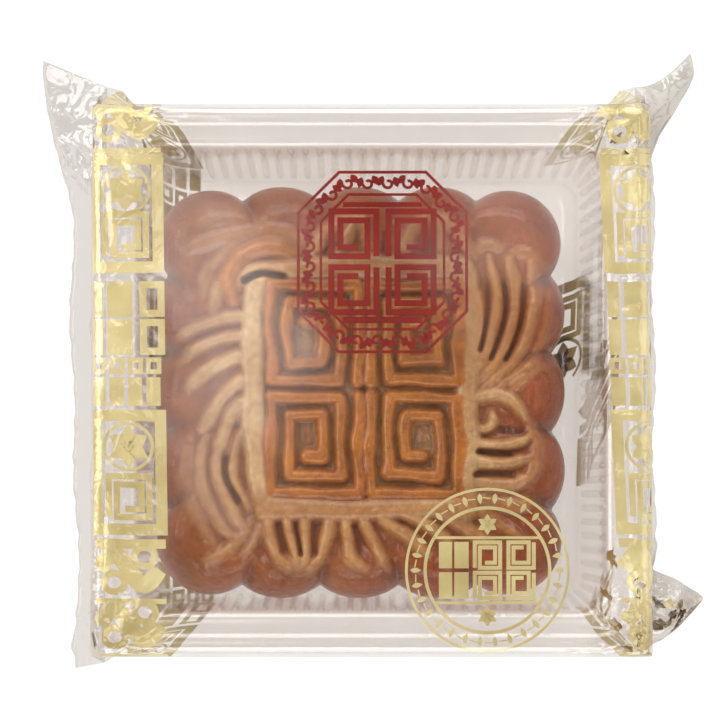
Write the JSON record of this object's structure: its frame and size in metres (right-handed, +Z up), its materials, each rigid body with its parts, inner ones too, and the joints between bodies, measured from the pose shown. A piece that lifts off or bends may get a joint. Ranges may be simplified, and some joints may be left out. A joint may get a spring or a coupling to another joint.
{
  "type": "packed square mooncake",
  "caption": "Square baked mooncake with a moulded lattice and petal top, in a clear tray sealed inside a clear printed film bag with a flat seal fin at each end.",
  "frame": {"origin": "centre of the pack's flat underside", "axes": "+Z up out of the pack's printed face; +X along the pack, through both seal fins; +Y across it"},
  "size_m": [0.1226, 0.1152, 0.0395],
  "materials": {
    "clear_film": "thin clear film, pulled tight, with creases at the seals",
    "clear_tray": "thin clear formed plastic with fine ribs",
    "baked_crust": "baked golden-brown crust with a soft egg-wash sheen",
    "gold_ink": "thin gold print on film",
    "red_ink": "thin dark red print on film"
  },
  "bodies": {
    "root": {"sealed_bag": "clear_film"}
  },
  "joints": []
}
